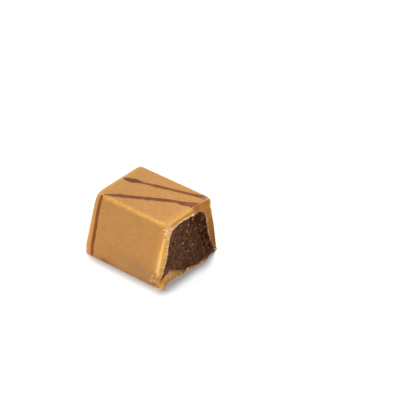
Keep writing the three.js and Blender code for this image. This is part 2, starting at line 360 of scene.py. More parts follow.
# The loops run from the middle of the moulded end along the skin, over the rim, and back along
# the hollow to its end. They lie closer together towards the rim.
end_loops = []
for turn in np.linspace(0, math.pi / 2, 11):
    pull = 1 - math.cos(turn)
    y = skin_y * (1 - corner_at * pull / half_width(skin_z))
    z = skin_z * (1 - top_round * pull / top_z)
    x = end_x + end_lean * z / top_z + rounding * (1 - math.sin(turn))
    end_loops.append((np.stack([x, y, z], axis=-1), turn))
cap_edge = end_loops[-1][0]
cap_middle = np.array([end_x + end_lean / 2, 0, top_z / 2])
for share in (0.0, 0.3, 0.6, 0.85):
    add_loop(cap_middle + (cap_edge - cap_middle) * share, far, 0, math.pi / 2)
for points, turn in end_loops[:0:-1]:
    add_loop(points, far, 0, turn)
rim_edge = rim_point(0.0)
edge_roll = rolled(skin_y, skin_z)
skin_shares = np.concatenate([np.linspace(1, 0.1, 54), np.geomspace(0.09, 0.003, 13), [0]])
for share in skin_shares:
    x = rim_edge[:, 0] + (skin_start - rim_edge[:, 0]) * share
    stand = skin_relief(x, around) * smooth(1 - share, 0, 0.06)
    patch = foot_patch(x, around)
    lump, number = lumps(0.5, 31, x, around)
    stand = stand + patch * (0.2 * lump * (0.2 + number) - 0.09)
    off_edge = rim_edge[:, 0] - x
    stand = stand - 0.04 * bell(off_edge / 0.09) - 0.1 * bell(off_edge / 0.4) * edge_roll
    yz = section + section_out * stand[:, None]
    add_loop(np.column_stack([x, yz]), off_edge, 0, 0)
rim_shares = np.concatenate([[0.012, 0.03, 0.055, 0.085, 0.12, 0.16], np.linspace(0.2, 1, 27)])
for share in rim_shares:
    add_loop(rim_point(share), -wall * share, share, 0)
inner_edge = rim_point(1.0)
for back in (0.1, 0.3, 0.8, 2.0, 5.0, 10.0, 15.0):
    add_loop(inner_edge - np.array([back, 0, 0]), -far, 1, 0)
hollow_end = np.column_stack([end_x + end_wall + end_lean * hollow_z / top_z, hollow_y, hollow_z])
hollow_middle = np.array([end_x + end_wall + end_lean / 2, middle_y, middle_z])
for share in (1.0, 0.6, 0.3, 0.0):
    add_loop(hollow_middle + (hollow_end - hollow_middle) * share, -far, 1, 0)


def tube_faces(rows, columns):
    """Four-sided faces between neighbouring closed loops."""
    row, column = np.meshgrid(np.arange(rows - 1), np.arange(columns), indexing="ij")
    beside = (column + 1) % columns
    corners = (row * columns + column, row * columns + beside,
               (row + 1) * columns + beside, (row + 1) * columns + column)
    return np.stack(corners, axis=-1).reshape(-1, 4)


def make_piece(name, points, faces, marks, materials=None, rounded=True):
    """A piece from points in millimetres, standing on the table, with its marks for the material
    to use and, where it has several, the number of each face's material."""
    mesh = bpy.data.meshes.new(name)
    points = np.asarray(points).reshape(-1, 3)
    points = np.column_stack([points[:, :2], np.maximum(points[:, 2], 0)])
    mesh.from_pydata((points * MM).tolist(), [], np.asarray(faces).tolist())
    if materials is not None:
        mesh.polygons.foreach_set("material_index", materials)
    for mark, values in marks.items():
        layer = mesh.attributes.new(mark, "FLOAT", "POINT")
        layer.data.foreach_set("value", np.asarray(values, np.float32).ravel())
    # Points that share a place are joined, and all faces are turned outwards.
    edit = bmesh.new()
    edit.from_mesh(mesh)
    bmesh.ops.remove_doubles(edit, verts=edit.verts, dist=1e-8)
    bmesh.ops.recalc_face_normals(edit, faces=edit.faces)
    edit.to_mesh(mesh)
    edit.free()
    if rounded:
        mesh.shade_smooth()
    piece = bpy.data.objects.new(name, mesh)
    bpy.context.scene.collection.objects.link(piece)
    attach(piece, "root")
    return piece


points = blunt(np.stack(loops))
x, y, z = np.moveaxis(points, -1, 0)
from_edge, into_wall, end_turn = np.stack(from_edge), np.stack(into_wall), np.stack(end_turn)
along = np.broadcast_to(around, x.shape)
beyond = x - cut_x
top_front_at = around[np.argmin(np.hypot(skin_y + half_top, skin_z - top_z))]
top_back_at = around[np.argmin(np.hypot(skin_y - half_top, skin_z - top_z))]
on_skin = into_wall == 0
on_rim = ~on_skin
front_skin = on_skin & (along < top_front_at - 0.5)

# Where the chocolate is broken, and how pale the fracture is. It is darker towards the back, where
# the knife went through, and painted shade darkens the back wall more towards its foot. The tip of
# the front foot is lightest, with painted light.
patch = np.where(on_skin & (from_edge < far), foot_patch(x, along), 0)
broken = np.maximum(smooth(-from_edge, -0.06, 0.06), 0.75 * patch)
split, roll = splintered(y, z), rolled(y, z)
corner = crumbled(y, z) * (z > 5)
front_foot = (1 - smooth(y, -8.9, -8.4)) * (1 - smooth(z, 1.8, 2.6))
pale = np.where(on_skin, 0.4, np.clip(split + corner + roll + front_foot, 0, 1))
# The tip of the front foot: painted light, and a few creamy specks.
tip = (1 - smooth(y, -9.0, -8.4)) * (1 - smooth(z, 0.8, 1.3)) * on_rim
knifed = smooth(y, 2.0, 3.0) * (z > 3)
near_back = smooth(y, 3.0, 6.5)
# Painted shade on the back wall of the cut, deepest towards its foot.
shade = near_back * (0.28 + 0.72 * (1 - smooth(z, 3.0, 14.5))) * on_rim

# Painted glow on the ridge that the splinters left, painted highlights near the edge at the top and
# the back, and a golden colour in the crumbled corner.
depth = wall * into_wall
ridge = split * bell((into_wall - 0.17) / 0.15) * (1 - smooth(z, 10.0, 13.0)) * smooth(z, 1.8, 3.6)
top_highlight = 0.55 * roll * (1 - smooth(depth, 0.35, 0.65))
back_highlight = 0.9 * near_back * bell((depth - 0.12) / 0.2) * smooth(z, 8.0, 11.5)
gold_and_highlight = np.maximum.reduce([ridge, top_highlight, back_highlight, 0.4 * corner]) * on_rim

# Creamy in a line beside the filling, in the crust along the top, and in lumps, stripes and specks.
to_hollow = wall * (1 - into_wall)
gaps = smooth(uneven(0.7, 20, along), -0.6, 0.4)
back_line = near_back * (z > 1.5) * gaps * (1 - 0.7 * smooth(z, 9.5, 11.5))
line = np.clip(split * (0.4 + 0.6 * smooth(z, 9.0, 12.0)) + 0.28 * back_line, 0, 1)
inner_line = line * bell(to_hollow / (0.3 + 0.1 * near_back))
lump, number = rim_lumps(y, z)
crust = roll * smooth(into_wall + 0.1 * (lump * number - 0.4), 0.7, 0.8)
crust = crust * (0.3 + 0.5 * smooth(uneven(0.9, 26, along), -0.3, 0.2))
corner_lumps = corner * smooth(lump * number, 0.32, 0.48)
stripe = smooth(striped(y, z), 0.3, 0.7) * smooth(uneven(0.6, 18, 0.7 * y, z), -0.4, 0.3)
stripe = 0.62 * split * stripe * smooth(into_wall, 0.35, 0.6)
speck = smooth(uneven(0.28, 19, along, 5 * into_wall), 0.2, 0.45)
ridge_speck = ridge * speck * (1 - smooth(z, 5.0, 9.0)) * smooth(z, 2.8, 3.6)
tip_speck = 0.15 * tip * speck
creamy = np.maximum.reduce([inner_line, crust, corner_lumps, stripe, ridge_speck, tip_speck]) * on_rim


def near_rim(distance):
    """1 at the rim's edge, fading out over that distance along the skin."""
    return np.exp(-np.maximum(from_edge, 0) / distance)


# Painted highlights along the long edges of the top, beside the end and beside the rim, broken by pale
# specks, and a little painted sheen over the top towards the cut. The rounded edges of the end carry a
# painted sheen. The front is warmer in colour near the rim, and a painted glow runs along its rounded
# corner at the end.
near_end = np.exp(-np.maximum(x - skin_start, 0) / 0.6)
painted_highlight = bell((along - top_front_at + 0.05) / 0.5) * (0.6 + 0.3 * smooth(x, end_x + 5, end_x + 9))
painted_highlight = painted_highlight + 0.5 * bell((along - top_back_at) / 0.35) + 0.1 * on_top * smooth(x, end_x + 4, cut_x)
painted_highlight = painted_highlight + near_end * (0.3 * on_front + 0.5 * on_top)
painted_highlight = painted_highlight + near_rim(1.0) * bell((along - top_back_at) / 0.6)
painted_highlight = painted_highlight + near_rim(0.5) * (0.5 * (z < top_z - 1) + 0.3 * edge_roll)
painted_highlight = painted_highlight + near_rim(0.9) * 0.5 * edge_roll
painted_highlight = painted_highlight + 0.4 * spot(beyond, along, (-1.3, top_front_at), (0.8, 0.6))
painted_highlight = painted_highlight + near_rim(0.45) * 0.9 * (1 - smooth(along, 0.8, 2.2))
painted_highlight = np.clip(painted_highlight, 0, 1) * on_skin * (from_edge < far)
end_sheen = 0.65 * np.sin(2 * end_turn) * (section_out[:, 1] > -0.5)
# Warmer near the rim, and a painted glow along the front's rounded corner at the end.
warm = 0.36 * near_rim(2.6) * smooth(z, 2.0, 5.0) + 0.3 * near_end * np.cos(end_turn)
warm = warm * front_skin

# A greyish patch low on the front, a band of painted shade along the foot of the front, and painted
# shade over the far end of the top.
grey_and_shade = 0.85 * spot(beyond, z + 0.2 * (beyond + 6.4), (-5.9, 2.8), (4.6, 1.25)) * front_skin
# Painted shade along the foot of the front, and over the far end of the top.
grey_and_shade = grey_and_shade + 0.35 * (1 - smooth(z, 0.3, 1.6)) * front_skin
grey_and_shade = grey_and_shade + 0.15 * on_skin * on_top * (1 - smooth(beyond, -18, -7))

# Red-brown stains at the foot of the front, and where the knife drew the drizzle over the rim. The front
# also darkens towards its foot with painted shade, and painted shadow fills the crevice at the tongue's
# tip.
stain_and_shade = spot(beyond, z, (-15.8, 0.35), (1.4, 0.4)) * front_skin
stain_and_shade = stain_and_shade + 0.9 * foot_stain(beyond, z) * front_skin
# Painted shade, darker towards the foot of the front.
stain_and_shade = stain_and_shade + 0.09 * (1 - smooth(z, 1.5, 6.5)) * front_skin
# Painted shadow in the crevice at the tip of the tongue.
stain_and_shade = stain_and_shade + spot(y, z, (-9.3, 2.05), (0.5, 0.5)) * on_rim
smear = bell((y - 2.9) / 0.95) * (1 - smooth(top_z - z, 1.0, 2.2)) * on_rim
stain_and_shade = np.clip(stain_and_shade + 0.9 * smear, 0, 1)

# Soiled with filling at the back foot and in a streak on the crumbled patch, and darker on the hump of
# base towards the filling.
soiled = smooth(y, 5.4, 6.6) * (1 - smooth(y, 8.6, 9.4)) * (1 - smooth(z, 0.5, 1.2)) * on_rim
hump = smooth(y, -7.2, -6.0) * (1 - smooth(y, -2.0, 0.0)) * (z < 3.4) * on_rim
soiled = soiled + 0.7 * bell(to_hollow / 0.8) * hump
soiled = soiled + 0.5 * foot_stain(beyond, z) * front_skin

shell = make_piece("caramel_shell", points, tube_faces(*x.shape), {
    "broken": broken, "pale": pale, "tip": tip, "knifed": knifed, "shade": shade, "gold_and_highlight": gold_and_highlight,
    "creamy": creamy, "painted_highlight": painted_highlight, "end_sheen": end_sheen, "warm": warm, "grey_and_shade": grey_and_shade,
    "stain_and_shade": stain_and_shade, "soiled": soiled,
}, np.repeat(into_wall[1:, 0] > 0, x.shape[1]).astype(np.int32))

skin_deep = (0.438, 0.197, 0.0465)
skin_light = (0.462, 0.211, 0.052)
skin_fleck = (0.55, 0.288, 0.095)
# Warmer skin, also used for the painted glow along the end's corner.
skin_warm = (0.62, 0.225, 0.038)
# Painted highlights and sheen on the skin.
skin_highlight = (0.77, 0.385, 0.075)
highlight_speck = (0.84, 0.58, 0.27)
broken_tan = (0.57, 0.285, 0.09)
knife_cut = (0.475, 0.192, 0.039)
# Painted shade for the back wall of the cut.
back_wall_shade = (0.235, 0.083, 0.006)
splinter = (0.63, 0.28, 0.044)
# Painted glow and highlights on the fracture, and the gold of the crumbled corner.
golden_and_highlight = (0.89, 0.53, 0.155)
# Painted light for the tip of the front foot.
tip_painted_light = (1.0, 0.55, 0.155)
cream = (0.96, 0.74, 0.46)
# Greyish, and used for painted shade.
grey_and_shade_tone = (0.31, 0.178, 0.088)
red_brown = (0.31, 0.10, 0.042)
paste_smear = (0.11, 0.0466, 0.023)


class Finish:
    """A material, and short ways to add what it is mixed from."""

    def __init__(self, name):
        self.material = bpy.data.materials.new(name)
        self.material.use_nodes = True
        self.nodes = self.material.node_tree.nodes
        self.links = self.material.node_tree.links
        self.surface = self.nodes["Principled BSDF"]
        self.place = self.nodes.new("ShaderNodeTexCoord").outputs["Object"]

    def feed(self, socket, value):
        """A socket given a value, a colour, or what comes out of another node."""
        if isinstance(value, bpy.types.NodeSocket):
            self.links.new(value, socket)
        elif isinstance(value, tuple) and len(value) == 3 and socket.type == "RGBA":
            socket.default_value = (*value, 1.0)
        else:
            socket.default_value = value

    def mark(self, name):
        """One of the marks that the piece was made with."""
        node = self.nodes.new("ShaderNodeAttribute")
        node.attribute_name = name
        return node.outputs["Fac"]

    def noise(self, size, detail=2.0, rough=0.5):
        """Cloudy noise with clouds of about that many millimetres."""
        node = self.nodes.new("ShaderNodeTexNoise")
        self.links.new(self.place, node.inputs["Vector"])
        node.inputs["Scale"].default_value = 1 / (size * MM)
        node.inputs["Detail"].default_value = detail
        node.inputs["Roughness"].default_value = rough
        return node.outputs["Fac"]

    def span(self, value, low, high, to_low=0.0, to_high=1.0):
        """A value stretched so that low to high becomes to_low to to_high."""
        node = self.nodes.new("ShaderNodeMapRange")
        node.interpolation_type = "SMOOTHSTEP"
        self.links.new(value, node.inputs["Value"])
        node.inputs["From Min"].default_value = low
        node.inputs["From Max"].default_value = high
        node.inputs["To Min"].default_value = to_low
        node.inputs["To Max"].default_value = to_high
        return node.outputs["Result"]

    def times(self, first, second):
        """Two values multiplied."""
        node = self.nodes.new("ShaderNodeMath")
        node.operation = "MULTIPLY"
        self.feed(node.inputs[0], first)
        self.feed(node.inputs[1], second)
        return node.outputs[0]

    def patchy(self, name, clouds, low, high, least, most):
        """A mark that comes through clouded, from least to most of it."""
        return self.times(self.mark(name), self.span(clouds, low, high, least, most))

    def mix(self, share, first, second):
        """The first colour with a share of the second."""
        node = self.nodes.new("ShaderNodeMix")
        node.data_type = "RGBA"
        # These are its sockets for mixing colours.
        for index, value in ((0, share), (6, first), (7, second)):
            self.feed(node.inputs[index], value)
        return node.outputs[2]

    def bump(self, height, depth, strength):
        """Dents and grains too small to model, of that depth in millimetres."""
        node = self.nodes.new("ShaderNodeBump")
        self.links.new(height, node.inputs["Height"])
        node.inputs["Distance"].default_value = depth * MM
        node.inputs["Strength"].default_value = strength
        self.links.new(node.outputs["Normal"], self.surface.inputs["Normal"])

    def set(self, **values):
        """What the surface is like, by the names of its sockets."""
        for key, value in values.items():
            self.feed(self.surface.inputs[key.replace("_", " ")], value)


def caramel_chocolate(name, gloss, roughness):
    """Chocolate with a satin moulded skin that turns paler and crumbly where it is broken."""
    chocolate = Finish(name)
    mottle = chocolate.noise(3.0, 3.0)
    clouds = chocolate.noise(0.55, 3.0)
    freckle = chocolate.noise(0.4, 2.0)
    speckle = chocolate.noise(0.3, 1.0)
    grain = chocolate.noise(0.18, 2.0)

    # The moulded skin, and what has worn and soiled it.
    colour = chocolate.mix(chocolate.span(mottle, 0.35, 0.65), skin_deep, skin_light)
    colour = chocolate.mix(chocolate.span(grain, 0.4, 0.75, 0.0, 0.4), colour, skin_fleck)
    colour = chocolate.mix(chocolate.span(freckle, 0.4, 0.65, 0.0, 0.5), colour, skin_fleck)
    # Warmer near the rim, with a painted glow at the end's corner.
    colour = chocolate.mix(chocolate.patchy("warm", clouds, 0.3, 0.6, 0.6, 1.0), colour, skin_warm)
    # A greyish patch, and painted shade low on the front and on the far end of the top.
    colour = chocolate.mix(chocolate.patchy("grey_and_shade", clouds, 0.2, 0.7, 0.4, 0.8), colour, grey_and_shade_tone)
    # Painted sheen on the end's edges, and painted highlights with pale specks along the edges.
    colour = chocolate.mix(chocolate.mark("end_sheen"), colour, skin_highlight)
    colour = chocolate.mix(chocolate.patchy("painted_highlight", clouds, 0.3, 0.6, 0.45, 0.85), colour, skin_highlight)
    colour = chocolate.mix(chocolate.patchy("painted_highlight", speckle, 0.58, 0.66, 0.0, 0.7), colour, highlight_speck)

    # The fracture, and the stains on both.
    fracture = chocolate.mix(chocolate.mark("knifed"), broken_tan, knife_cut)
    # Painted shade on the back wall.
    fracture = chocolate.mix(chocolate.mark("shade"), fracture, back_wall_shade)
    fracture = chocolate.mix(chocolate.mark("pale"), fracture, splinter)
    # Painted glow and highlights, and the gold of the crumbled corner.
    fracture = chocolate.mix(chocolate.mark("gold_and_highlight"), fracture, golden_and_highlight)
    # Painted light on the tip of the front foot.
    fracture = chocolate.mix(chocolate.mark("tip"), fracture, tip_painted_light)
    fracture = chocolate.mix(chocolate.patchy("creamy", clouds, 0.3, 0.5, 0.6, 1.0), fracture, cream)
    colour = chocolate.mix(chocolate.mark("broken"), colour, fracture)
    # Red-brown stains, and painted shade low on the front and in the crevice.
    colour = chocolate.mix(chocolate.patchy("stain_and_shade", clouds, 0.3, 0.6, 0.35, 1.0), colour, red_brown)
    colour = chocolate.mix(chocolate.patchy("soiled", clouds, 0.4, 0.55, 0.6, 1.0), colour, paste_smear)
    chocolate.set(Base_Color=colour, Roughness=roughness, Specular_IOR_Level=gloss,
                  Subsurface_Weight=0.12, Subsurface_Scale=0.001, Subsurface_Radius=(1.0, 0.5, 0.22))
    chocolate.bump(grain, 0.02, 0.3)
    return chocolate.material


shell.data.materials.append(caramel_chocolate("moulded_skin", gloss=0.13, roughness=0.5))
shell.data.materials.append(caramel_chocolate("broken_rim", gloss=0.1, roughness=0.55))
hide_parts("shell")


# The filling. A dark, crumbly paste of cocoa, nuts and biscuit, spooned into the shell and set.
# It fills the hollow from the end wall to the cut, where it broke into lumps and small holes.
face_shares = np.concatenate([[1.0, 0.993], np.linspace(0.984, 0.0, 92)])
face_loops = []
face_marks = {"lump": [], "pit": [], "toast": [], "edge": []}
boundary = inner_edge - np.array([0.01, 0, 0])

# Small holes: their places across and up the cut, and their sizes.
pits = ((-0.4, 9.5, 0.34), (-5.0, 9.4, 0.34), (-6.1, 8.7, 0.34), (2.4, 8.8, 0.24), (0.6, 7.6, 0.24),
        (-3.3, 4.2, 0.26), (3.5, 6.3, 0.24), (4.6, 11.0, 0.2), (-2.6, 11.6, 0.2), (6.2, 3.2, 0.24))
for share in face_shares:
    y = middle_y + (hollow_y - middle_y) * share
    z = middle_z + (hollow_z - middle_z) * share
    free = smooth((1 - share) * reach, 0.0, 0.3)
    big, big_number = lumps(0.75, 41, y, z * 0.85)
    small, small_number = lumps(0.36, 42, y, z * 0.85)
    relief = 0.3 * (big - 0.6) * (0.2 + big_number) + 0.15 * (small - 0.6) * (0.3 + small_number)
    relief = relief + 0.08 * uneven(1.7, 43, y, z) + 0.025 * uneven(0.15, 44, y, z)
    pit, toast = np.zeros(y.shape), np.zeros(y.shape)
    ragged = 1 + 0.5 * uneven(0.4, 45, y, z)
    for pit_y, pit_z, size in pits:
        away = np.hypot(y - pit_y, (z - pit_z) * 0.75) * ragged / size
        pit = np.maximum(pit, bell(away))
        toast = np.maximum(toast, bell(away / 2.2))
    x = cut_x + 0.02 + lip_relief(y, z) + (relief - 0.35 * pit) * free
    face_loops.append(np.column_stack([x, y, z]))
    face_marks["lump"].append(0.6 * big * big_number + 0.4 * small * small_number)
    face_marks["pit"].append(pit)
    face_marks["toast"].append(toast)
    face_marks["edge"].append(bell((1 - share) * reach / 0.22))
face_loops[0] = boundary

# The rest of it, inside the shell.
body_loops = []
for back in (16.5, 15.0, 8.0, 2.0, 0.4):
    loop = boundary - np.array([back, 0, 0])
    loop[:, 1:] = (middle_y, middle_z) + (loop[:, 1:] - (middle_y, middle_z)) * 0.997
    body_loops.append(loop)
back_middle = np.array([body_loops[0][:, 0].mean(), middle_y, middle_z])
back_loops = [back_middle + (body_loops[0] - back_middle) * share for share in (0.0, 0.5)]
filling_loops = np.stack(back_loops + body_loops + face_loops)
hidden = np.zeros((len(back_loops) + len(body_loops), len(skin_y)))
filling_marks = {mark: np.concatenate([hidden, rows]) for mark, rows in face_marks.items()}

# Darker with painted shade towards the back, but less so on the lip, and paler in the tongue at the front
# foot.
_, y, z = np.moveaxis(filling_loops, -1, 0)
on_lip = spot(y, z, (2.6, 2.2), (2.6, 2.6))
shade_at_foot = spot(y, z, (6.2, 4.3), (1.8, 2.2))
filling_marks["shade_to_back"] = smooth(y, -3.5, 5.0) * (1 - 0.75 * on_lip) + 0.5 * shade_at_foot
filling_marks["tongue"] = (1 - smooth(z, 3.2, 5.2)) * (1 - smooth(y, -6.8, -5.4))

filling_faces = tube_faces(*filling_loops.shape[:2])
filling = make_piece("crumbly_filling", filling_loops, filling_faces, filling_marks)

paste_dark = (0.044, 0.0178, 0.0098)
paste = (0.091, 0.0385, 0.0218)
paste_light = (0.19, 0.095, 0.057)
# Painted shade for the paste towards the back.
paste_shade = (0.031, 0.0085, 0.0028)
paste_tongue = (0.17, 0.063, 0.036)
paste_toast = (0.20, 0.077, 0.022)
# Painted light for the paste where it meets the shell.
paste_edge_light = (0.20, 0.095, 0.05)
# Painted shade for the holes.
pit_shade = (0.03, 0.009, 0.003)

crumb_paste = Finish("dark_filling")
shade_clouds = crumb_paste.noise(1.1, 3.0)
clouds = crumb_paste.noise(0.6, 4.0, 0.65)
fine = crumb_paste.noise(0.13, 2.0)
colour = crumb_paste.mix(crumb_paste.span(clouds, 0.32, 0.58), paste_dark, paste)
raised = crumb_paste.span(crumb_paste.mark("lump"), 0.1, 0.75, 0.0, 0.6)
colour = crumb_paste.mix(raised, colour, paste_light)
colour = crumb_paste.mix(crumb_paste.span(fine, 0.55, 0.75, 0.0, 0.5), colour, paste_light)
# Painted shade towards the back.
colour = crumb_paste.mix(crumb_paste.patchy("shade_to_back", shade_clouds, 0.38, 0.58, 0.2, 0.95), colour, paste_shade)
colour = crumb_paste.mix(crumb_paste.mark("tongue"), colour, paste_tongue)
colour = crumb_paste.mix(crumb_paste.patchy("toast", clouds, 0.35, 0.6, 0.3, 1.0), colour, paste_toast)
# Painted shade in the holes.
colour = crumb_paste.mix(crumb_paste.mark("pit"), colour, pit_shade)
# Painted light that lifts the shade where the paste meets the shell.
colour = crumb_paste.mix(crumb_paste.patchy("edge", clouds, 0.35, 0.6, 0.2, 0.8), colour, paste_edge_light)
crumb_paste.set(Base_Color=colour, Roughness=0.75, Specular_IOR_Level=0.0)
crumb_paste.bump(fine, 0.03, 0.6)
filling.data.materials.append(crumb_paste.material)
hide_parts("filling")


# Flecks in the filling. Bits of roasted nut and biscuit, chopped and stirred into the paste,
# cut through or bared where it broke.
class Bits:
    """Many small angular chips gathered into one piece."""

    corner_count = 16

    def __init__(self, seed):
        self.chance = np.random.default_rng(seed)
        self.points, self.faces, self.tones = [], [], []

    def add(self, place, size, tone, stretch=(1.0, 1.0, 1.0)):
        """One more chip, turned at random, from dark at tone 0 to pale at 1."""
        corners = self.chance.normal(size=(self.corner_count, 3))
        corners /= np.linalg.norm(corners, axis=1)[:, None]
        turn, _ = np.linalg.qr(self.chance.normal(size=(3, 3)))
        corners = (corners * self.chance.uniform(0.65, 1.1, 3)) @ turn.T * np.array(stretch)
        chip = bmesh.new()
        for chip_corner in corners:
            chip.verts.new(chip_corner)
        bmesh.ops.convex_hull(chip, input=chip.verts)
        chip.verts.index_update()
        first = self.corner_count * len(self.points)
        self.faces += [[first + v.index for v in face.verts] for face in chip.faces]
        chip.free()
        self.points.append(corners * size + np.array(place))
        self.tones.append(np.full(self.corner_count, tone))

    def make(self, name):
        """The piece that all the chips make."""
        tones = {"tone": np.concatenate(self.tones)}
        return make_piece(name, np.concatenate(self.points), self.faces, tones, rounded=False)


face_points = np.stack(face_loops)


def on_face(y, z):
    """The nearest place on the cut face of the filling."""
    gap = np.hypot(face_points[..., 1] - y, face_points[..., 2] - z)
    return face_points[np.unravel_index(np.argmin(gap), gap.shape)]


# The larger flecks: their places across and up the cut, their sizes and their tones.
flecks = Bits(5)
seen_flecks = (
    (-0.47, 10.3, 0.34, 0.75), (-0.8, 9.3, 0.26, 0.3), (0.1, 9.1, 0.22, 0.2), (2.33, 9.2, 0.32, 0.28),
    (-5.45, 9.25, 0.28, 0.5), (-4.5, 9.7, 0.22, 0.25), (-1.94, 8.03, 0.27, 0.95), (1.29, 5.76, 0.24, 0.9),
    (1.65, 5.95, 0.16, 0.8), (0.85, 5.6, 0.16, 0.8), (-3.99, 6.47, 0.2, 0.95), (-1.96, 5.51, 0.2, 0.8),
    (-0.43, 5.21, 0.22, 0.7), (0.78, 7.24, 0.36, 0.25), (0.35, 6.7, 0.28, 0.2), (-3.33, 4.11, 0.26, 0.3),
    (-0.05, 11.94, 0.22, 0.8), (1.48, 12.72, 0.2, 0.7), (3.53, 6.17, 0.28, 0.25), (3.9, 9.9, 0.18, 0.5),
    (2.6, 4.3, 0.18, 0.7), (4.8, 3.2, 0.2, 0.6), (5.3, 6.0, 0.18, 0.3), (-2.4, 11.9, 0.2, 0.3),
)
for y, z, size, tone in seen_flecks:
    flecks.add(on_face(y, z) - np.array([0.2 * size, 0, 0]), 1.25 * size, tone, (0.7, 0.9, 1.1))
for _ in range(50):
    k = int(flecks.chance.integers(len(skin_y)))
    out = math.sqrt(flecks.chance.uniform(0.0, 0.88))
    across = middle_y + (hollow_y[k] - middle_y) * out
    up = middle_z + (hollow_z[k] - middle_z) * out
    size = flecks.chance.uniform(0.08, 0.17)
    tone = flecks.chance.uniform(0.0, 0.4)
    flecks.add(on_face(across, up) - np.array([0.2 * size, 0, 0]), size, tone, (0.7, 0.8, 1.3))
fleck_piece = flecks.make("nut_flecks")

fleck_brown = (0.17, 0.064, 0.018)
fleck_cream = (0.42, 0.26, 0.145)

nut = Finish("nut_and_biscuit")
colour = nut.mix(nut.mark("tone"), fleck_brown, fleck_cream)
colour = nut.mix(nut.span(nut.noise(0.12, 2.0), 0.45, 0.7, 0.0, 0.5), colour, fleck_brown)
nut.set(Base_Color=colour, Roughness=0.6, Specular_IOR_Level=0.2)
fleck_piece.data.materials.append(nut.material)


# The drizzle. Thin threads of dark chocolate flicked over the bar while the shell was still warm,
# so that they lie almost flush. One runs up the front, and two run slantwise over the top to the cut.
def over_top(beyond_cut, y, width):
    """A stop of a thread on the top: its places along the bar and round it, and the width there."""
    return cut_x + beyond_cut, float(np.interp(y, skin_y[on_top], around[on_top])), width


def up_front(beyond_cut, z, width):
    """The same for a stop on the front, at a height."""
    return cut_x + beyond_cut, float(np.interp(z, skin_z[on_front], around[on_front])), width


front_thread = (
    up_front(-19.8, 0.12, 0.9), up_front(-20.02, 2.2, 0.98), up_front(-19.8, 4.4, 1.08),
    up_front(-19.53, 8.0, 1.0), up_front(-19.29, 11.2, 0.93), up_front(-19.02, 13.3, 0.97),
    up_front(-18.85, 14.5, 1.0), over_top(-18.7, -7.1, 1.0),
)
top_thread = (
    over_top(-18.55, -6.75, 0.6), over_top(-17.4, -6.07, 0.9), over_top(-15.5, -4.9, 1.5),
    over_top(-13.6, -3.8, 1.35), over_top(-11.4, -2.62, 1.4), over_top(-7.6, -0.48, 1.42),
    over_top(-4.3, 1.3, 1.1), over_top(-3.5, 1.5, 1.25), over_top(-2.9, 1.55, 1.7),
    over_top(-2.0, 1.95, 2.1), over_top(-0.7, 2.7, 2.0), over_top(0.0, 3.15, 1.9),
)
back_thread = (
    over_top(-19.55, 0.8, 0.85), over_top(-18.9, 1.12, 1.2), over_top(-17.8, 1.38, 1.75),
    over_top(-16.8, 1.72, 1.85), over_top(-15.9, 2.0, 1.4), over_top(-14.8, 2.32, 0.8),
    over_top(-13.4, 2.72, 0.85), over_top(-12.0, 3.15, 1.3), over_top(-10.2, 3.68, 1.3),
    over_top(-8.6, 4.15, 1.0), over_top(-3.9, 5.5, 1.1), over_top(-2.4, 5.95, 1.2),
    over_top(-1.7, 6.15, 1.3), over_top(-1.1, 6.38, 1.6), over_top(-0.2, 6.42, 1.75),
)
between_threads = 4.9  # a line along the top that parts the two threads where they reach the cut
thread_height = 0.035  # above the skin, along the middle
sunk = 0.02  # below the skin, along the sides
thread_step = 0.12  # between one loop and the next


def eased(stops):
    """Even points along a soft line through the stops."""
    stops = np.array(stops)
    run = np.concatenate([[0], np.cumsum(np.hypot(*np.diff(stops[:, :2], axis=0).T))])
    places = np.linspace(0, run[-1], int(run[-1] / thread_step) + 1)
    line = np.column_stack([np.interp(places, run, stops[:, k]) for k in range(3)])
    for _ in range(9):  # rounds off its bends
        line[1:-1] = (line[:-2] + 2 * line[1:-1] + line[2:]) / 4
    return line


def on_skin_at(x, along, stand):
    """A place on the skin, standing that far off it."""
    lift = stand + skin_relief(x, along)
    y = np.interp(along, around, skin_y) + np.interp(along, around, section_out[:, 0]) * lift
    z = np.interp(along, around, skin_z) + np.interp(along, around, section_out[:, 1]) * lift
    return np.stack([x, y, z], axis=-1)


def thread(stops, seed):
    """A flat bead of chocolate laid along the stops, as closed loops round it, and their widths."""
    line = eased(stops)
    ahead = np.gradient(line[:, :2], axis=0)
    ahead /= np.linalg.norm(ahead, axis=1)[:, None]
    beside = np.stack([-ahead[:, 1], ahead[:, 0]], axis=1)
    run = np.arange(len(line)) * thread_step
    round_end = np.sqrt(np.clip(run / 0.4, 0.01, 1))
    upper, lower = np.linspace(-1, 1, 11), np.linspace(1, -1, 5)[1:-1]
    across = np.concatenate([upper, lower])
    under = np.arange(len(across)) >= len(upper)
    sides = []
    for k in range(2):
        wander = 0.12 * uneven(0.9, seed + k, run) + 0.05 * uneven(0.3, seed + 5 + k, run)
        sides.append(line[:, 2] / 2 * (1 + wander) * round_end)
    reach_out = np.where(across < 0, sides[0][:, None], sides[1][:, None]) * across
    x = line[:, None, 0] + beside[:, None, 0] * reach_out
    along = line[:, None, 1] + beside[:, None, 1] * reach_out
    crown = thread_height * (1 - across ** 4) - sunk * np.abs(across) ** 6
    stand = np.where(under, -sunk, crown) * round_end[:, None]
    x = np.minimum(x, np.interp(along, around, rim_edge[:, 0]) - 0.01)
    loops = blunt(on_skin_at(x, along, stand))
    first = np.repeat(loops[:1].mean(axis=1, keepdims=True), len(across), axis=1)
    last = np.repeat(loops[-1:].mean(axis=1, keepdims=True), len(across), axis=1)
    return np.concatenate([first, loops, last]), np.pad(line[:, 2], 1, "edge")


